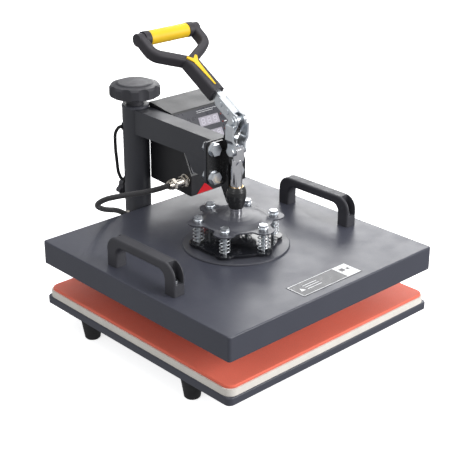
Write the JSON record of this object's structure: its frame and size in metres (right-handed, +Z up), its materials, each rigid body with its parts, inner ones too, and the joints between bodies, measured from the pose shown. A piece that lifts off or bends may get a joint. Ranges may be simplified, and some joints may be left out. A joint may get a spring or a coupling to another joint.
{
  "type": "heat press",
  "caption": "Swing-away heat press: a square heated platen on a post-mounted arm is pressed onto a silicone pad by a hand toggle lever.",
  "frame": {"origin": "on the bench, under the middle of the whole footprint", "axes": "+Z up, -Y towards the operator, +X to the operator's right (the control box side)"},
  "size_m": [0.388, 0.5, 0.4117],
  "materials": {
    "slate_powder_coat": "satin powder coat, fine texture",
    "arm_powder_coat": "satin powder coat",
    "black_enamel": "gloss black enamel",
    "dark_pressed_steel": "satin dark coat",
    "black_casting": "semi-gloss black",
    "box_black": "fine textured black powder coat",
    "moulded_black": "fine grained moulded plastic",
    "grip_black": "soft touch",
    "grip_yellow": "soft satin",
    "zinc_plate": "bright zinc",
    "chrome": "polished",
    "bronze": "sintered",
    "hot_plate_alloy": "machined face with non-stick coat",
    "glass_wool": "felted",
    "silicone_red": "matt foam silicone",
    "cream_board": "pressed heat-resistant board",
    "black_rubber": "matt",
    "braided_sleeve": "black glass-fibre braid",
    "face_film": "printed film",
    "display_window": "pale unlit digits",
    "led_lens": "clear red",
    "circuit_board": "solder mask",
    "laminated_core": "varnished",
    "switch_plastic": "moulded",
    "rocker_red": "moulded",
    "button_grey": "moulded",
    "label_red": "printed",
    "label_dark": "printed"
  },
  "bodies": {
    "base": {"base_plate": "slate_powder_coat", "rear_outrigger": "slate_powder_coat", "rubber_feet": "black_rubber", "foot_screws": "zinc_plate", "post_stand": "slate_powder_coat", "post_bolts": "zinc_plate", "pad_board": "cream_board", "silicone_pad": "silicone_red"},
    "swivel_cap": {"thrust_cap": "zinc_plate"},
    "arm": {"outer_tube": "arm_powder_coat", "top_collar": "dark_pressed_steel", "rear_lead": "black_rubber", "arm_beam": "arm_powder_coat", "arm_gusset": "arm_powder_coat", "arm_end_plate": "arm_powder_coat", "toggle_guide": "black_casting", "guide_bush": "bronze", "guide_bolts": "zinc_plate", "pivot_pin": "zinc_plate", "heater_cable": "braided_sleeve", "box_case": "box_black", "box_rear_cover": "box_black", "case_screws": "zinc_plate", "faceplate": "face_film", "displays": "display_window", "indicator_leds": "led_lens", "control_board": "circuit_board", "transformer": "laminated_core", "mains_inlet": "switch_plastic", "rocker_housing": "switch_plastic", "box_gland": "chrome", "lip_label": "label_red"},
    "pressure_adjuster": {"pressure_knob": "moulded_black", "pressure_screw": "zinc_plate"},
    "lock_screw": {"lock_knob": "moulded_black"},
    "lever": {"lever_plates": "zinc_plate", "lever_bar": "zinc_plate", "lever_pins": "zinc_plate", "handle_frame": "grip_black", "grip_sleeve": "grip_yellow", "handle_inlay": "grip_yellow"},
    "links": {"toggle_links": "zinc_plate", "plunger_pin": "zinc_plate"},
    "plunger": {"plunger": "chrome", "spring_plate": "dark_pressed_steel"},
    "platen": {"platen_cover": "slate_powder_coat", "heating_plate": "hot_plate_alloy", "insulation": "glass_wool", "mounting_disc": "dark_pressed_steel", "pressure_ring": "black_enamel", "spring_bolts": "zinc_plate", "springs": "zinc_plate", "lift_handles": "moulded_black", "handle_screws": "zinc_plate", "cover_label": "label_dark", "platen_gland": "chrome"},
    "button_1": {"face_button_1": "button_grey"},
    "button_2": {"face_button_2": "button_grey"},
    "button_3": {"face_button_3": "button_grey"},
    "rocker": {"power_rocker": "rocker_red"}
  },
  "joints": [
    {"name": "arm_swing", "type": "hinge", "parent": "base", "child": "swivel_cap", "pos_m": [0, 0.1635, 0.2505], "axis": [0, 0, 1], "range_deg": [-180, 180]},
    {"name": "arm_height", "type": "slide", "parent": "swivel_cap", "child": "arm", "axis": [0, 0, 1], "range_m": [-0.006, 0.006]},
    {"name": "pressure_turn", "type": "hinge", "parent": "swivel_cap", "child": "pressure_adjuster", "pos_m": [0, 0.1635, 0.2945], "axis": [0, 0, -1], "range_deg": [-1085, 1085]},
    {"name": "plunger_slide", "type": "slide", "parent": "arm", "child": "plunger", "axis": [0, 0, -1], "range_m": [0, 0.03], "deforming": ["heater_cable"]},
    {"name": "lever_throw", "type": "hinge", "parent": "arm", "child": "lever", "pos_m": [0, -0.05, 0.29605], "axis": [1, 0, 0], "range_deg": [0, 145]},
    {"name": "link_fold", "type": "hinge", "parent": "lever", "child": "links", "pos_m": [0, -0.058, 0.3101], "axis": [-1, 0, 0], "range_deg": [0, 153.5]},
    {"name": "platen_float", "type": "slide", "parent": "plunger", "child": "platen", "axis": [0, 0, 1], "range_m": [0, 0.004], "stiffness_N_per_m": 18000, "springref_m": -0.004, "deforming": ["springs"]},
    {"name": "lock_turn", "type": "hinge", "parent": "arm", "child": "lock_screw", "pos_m": [0, 0.1875, 0.1385], "axis": [0, 1, 0], "range_deg": [0, 180]},
    {"name": "button_1_press", "type": "slide", "parent": "arm", "child": "button_1", "axis": [0, 0.8986, -0.4388], "range_m": [0, 0.001], "stiffness_N_per_m": 600, "springref_m": -0.0005},
    {"name": "button_2_press", "type": "slide", "parent": "arm", "child": "button_2", "axis": [0, 0.8986, -0.4388], "range_m": [0, 0.001], "stiffness_N_per_m": 600, "springref_m": -0.0005},
    {"name": "button_3_press", "type": "slide", "parent": "arm", "child": "button_3", "axis": [0, 0.8986, -0.4388], "range_m": [0, 0.001], "stiffness_N_per_m": 600, "springref_m": -0.0005},
    {"name": "rocker_tilt", "type": "hinge", "parent": "arm", "child": "rocker", "pos_m": [0.092, 0.1465, 0.1885], "axis": [1, 0, 0], "range_deg": [0, 14]}
  ],
  "couplings": [
    {"joint": "pressure_turn", "follows": "arm_height", "rad_per_m": 3141.6},
    {"joint": "lever_throw", "follows": "plunger_slide", "rad_per_m": 84.153},
    {"joint": "link_fold", "follows": "plunger_slide", "rad_per_m": 88.975}
  ]
}
